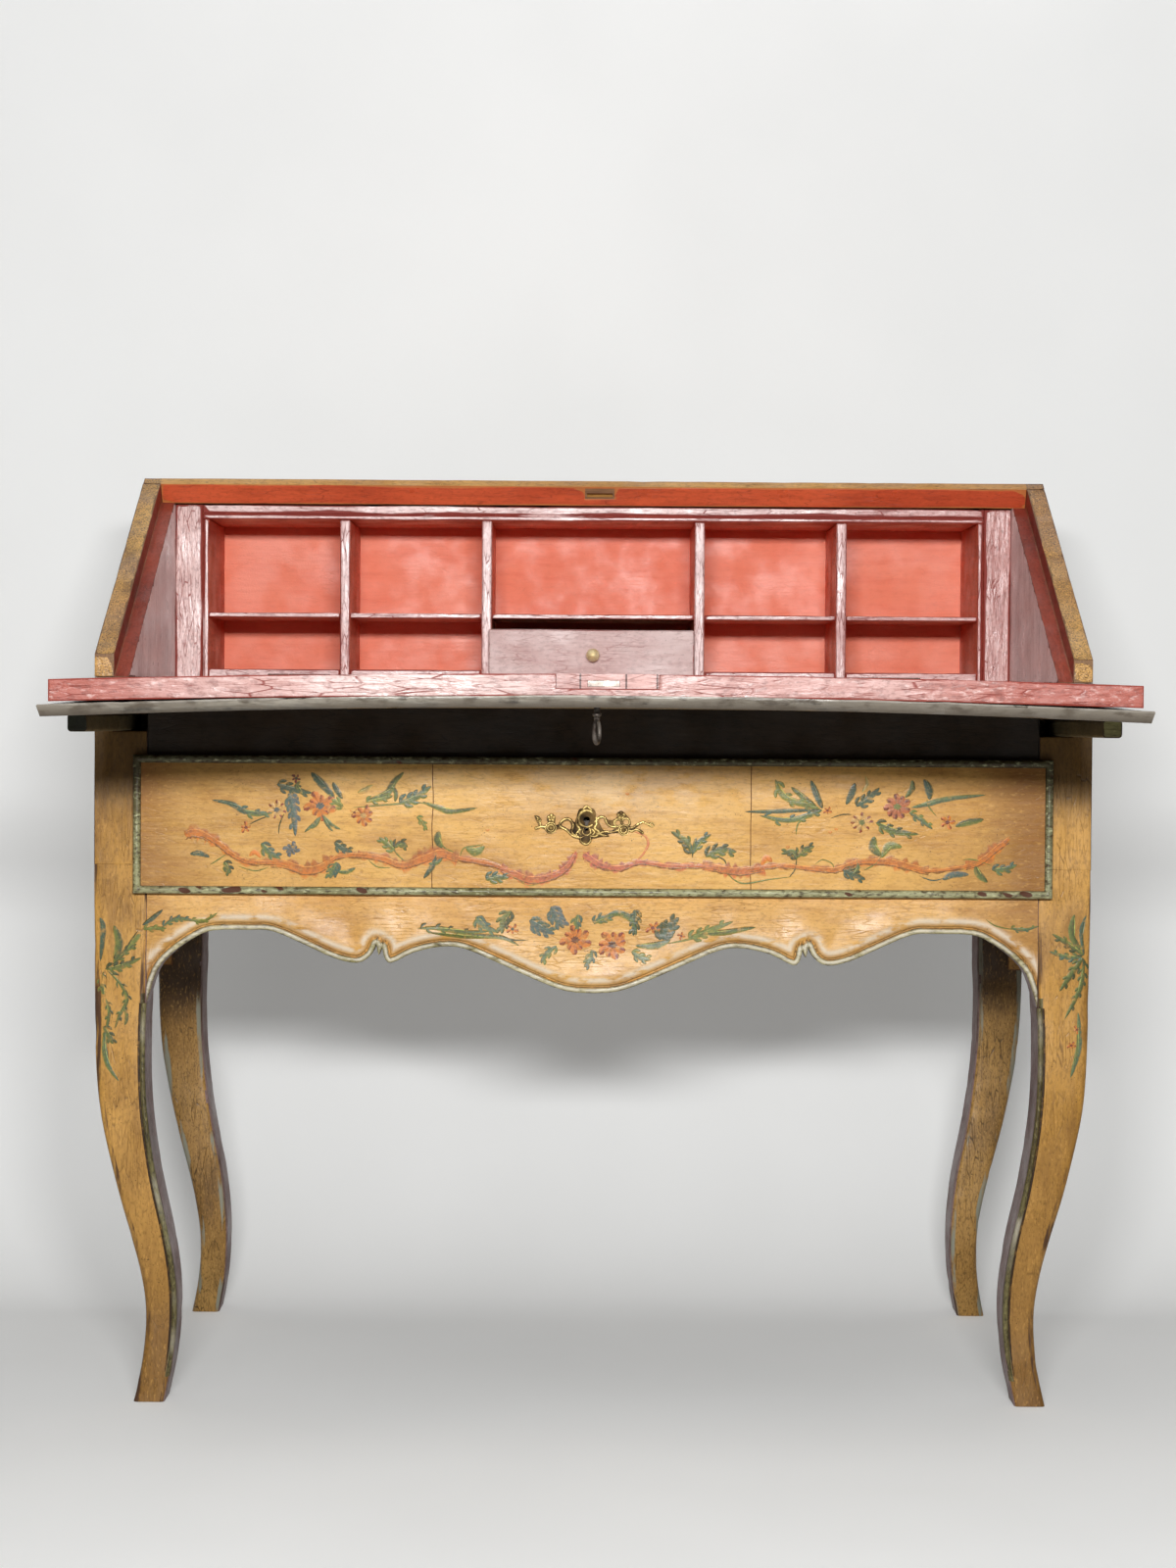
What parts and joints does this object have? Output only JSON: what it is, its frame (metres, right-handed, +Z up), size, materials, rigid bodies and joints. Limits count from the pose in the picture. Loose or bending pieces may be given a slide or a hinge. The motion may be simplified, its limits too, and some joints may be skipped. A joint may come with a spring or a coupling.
{
  "type": "slant-front desk",
  "caption": "Painted slant-front desk on cabriole legs with a hinged fall front on pull-out lopers, a long drawer and an inner gallery.",
  "frame": {"origin": "on the floor under the middle of the box round the desk with its fall open, as it stands in the picture", "axes": "+X to the sitter's right, +Y to the back of the desk, +Z up"},
  "size_m": [1.016, 0.8938, 0.971],
  "materials": {
    "leg_paint": "old ochre paint, worn dark below",
    "ochre_paint": "old ochre paint with small flowers, crackled",
    "green_paint": "green paint, chipped",
    "red_paint": "red paint, glossy where worn",
    "fall_paint": "grey-green paint, worn",
    "pink_paint": "mauve-pink paint with a white bloom",
    "salmon_paint": "salmon paint",
    "bare_wood": "unfinished softwood",
    "loper_paint": "dark green paint on the end, bare behind",
    "brass": "aged brass",
    "iron": "old forged iron"
  },
  "bodies": {
    "carcase": {"left_front_leg": "leg_paint", "right_front_leg": "leg_paint", "left_back_leg": "leg_paint", "right_back_leg": "leg_paint", "left_side_panel": "ochre_paint", "right_side_panel": "ochre_paint", "left_slant_side": "ochre_paint", "right_slant_side": "ochre_paint", "top_board": "ochre_paint", "upper_back": "salmon_paint", "lower_back": "bare_wood", "writing_board": "pink_paint", "frieze_rail": "ochre_paint", "front_apron": "ochre_paint", "back_rail": "bare_wood", "left_loper_channel": "bare_wood", "right_loper_channel": "bare_wood", "left_drawer_runner": "bare_wood", "right_drawer_runner": "bare_wood", "glue_blocks": "bare_wood", "lock_keeper": "iron", "hinge_case_leaves": "iron", "hinge_pins": "iron", "gallery_top": "pink_paint", "gallery_floor": "pink_paint", "gallery_left_end": "pink_paint", "gallery_right_end": "pink_paint", "gallery_stiles": "pink_paint", "gallery_shelves": "pink_paint", "divider_outer_left": "pink_paint", "divider_inner_left": "pink_paint", "divider_inner_right": "pink_paint", "divider_outer_right": "pink_paint"},
    "fall_front": {"hinge_fall_leaves": "iron", "fall_inner_board": "red_paint", "fall_outer_board": "fall_paint", "fall_lock": "iron"},
    "fall_bolt": {"fall_bolt": "iron"},
    "fall_key": {"fall_key": "iron"},
    "left_loper": {"left_loper": "loper_paint", "left_loper_peg": "bare_wood"},
    "right_loper": {"right_loper": "loper_paint", "right_loper_peg": "bare_wood"},
    "long_drawer": {"drawer_front": "ochre_paint", "drawer_bead": "green_paint", "drawer_left_side": "bare_wood", "drawer_right_side": "bare_wood", "drawer_back": "bare_wood", "drawer_bottom": "bare_wood", "drawer_lock": "iron", "drawer_escutcheon": "brass"},
    "drawer_bolt": {"drawer_bolt": "iron"},
    "small_drawer": {"small_drawer_front": "ochre_paint", "small_drawer_left_side": "bare_wood", "small_drawer_right_side": "bare_wood", "small_drawer_back": "bare_wood", "small_drawer_bottom": "bare_wood", "small_drawer_knob": "brass"}
  },
  "joints": [
    {"name": "fall_hinge", "type": "hinge", "parent": "carcase", "child": "fall_front", "pos_m": [0, -0.05008, 0.742], "axis": [-1, 0, 0], "range_deg": [0, 148.2]},
    {"name": "fall_key_turn", "type": "hinge", "parent": "fall_front", "child": "fall_key", "pos_m": [0.001, -0.41092, 0.7], "axis": [0, 0, -1], "range_deg": [0, 90]},
    {"name": "fall_bolt_slide", "type": "slide", "parent": "fall_front", "child": "fall_bolt", "axis": [0, -1, 0], "range_m": [0, 0.008]},
    {"name": "left_loper_slide", "type": "slide", "parent": "carcase", "child": "left_loper", "axis": [0, 1, 0], "range_m": [0, 0.265]},
    {"name": "right_loper_slide", "type": "slide", "parent": "carcase", "child": "right_loper", "axis": [0, 1, 0], "range_m": [0, 0.265]},
    {"name": "long_drawer_slide", "type": "slide", "parent": "carcase", "child": "long_drawer", "axis": [0, -1, 0], "range_m": [0, 0.3]},
    {"name": "drawer_bolt_slide", "type": "slide", "parent": "long_drawer", "child": "drawer_bolt", "axis": [0, 0, 1], "range_m": [0, 0.008]},
    {"name": "small_drawer_slide", "type": "slide", "parent": "carcase", "child": "small_drawer", "axis": [0, -1, 0], "range_m": [0, 0.11]}
  ],
  "couplings": [
    {"joint": "fall_key_turn", "follows": "fall_bolt_slide", "rad_per_m": 196.3}
  ]
}
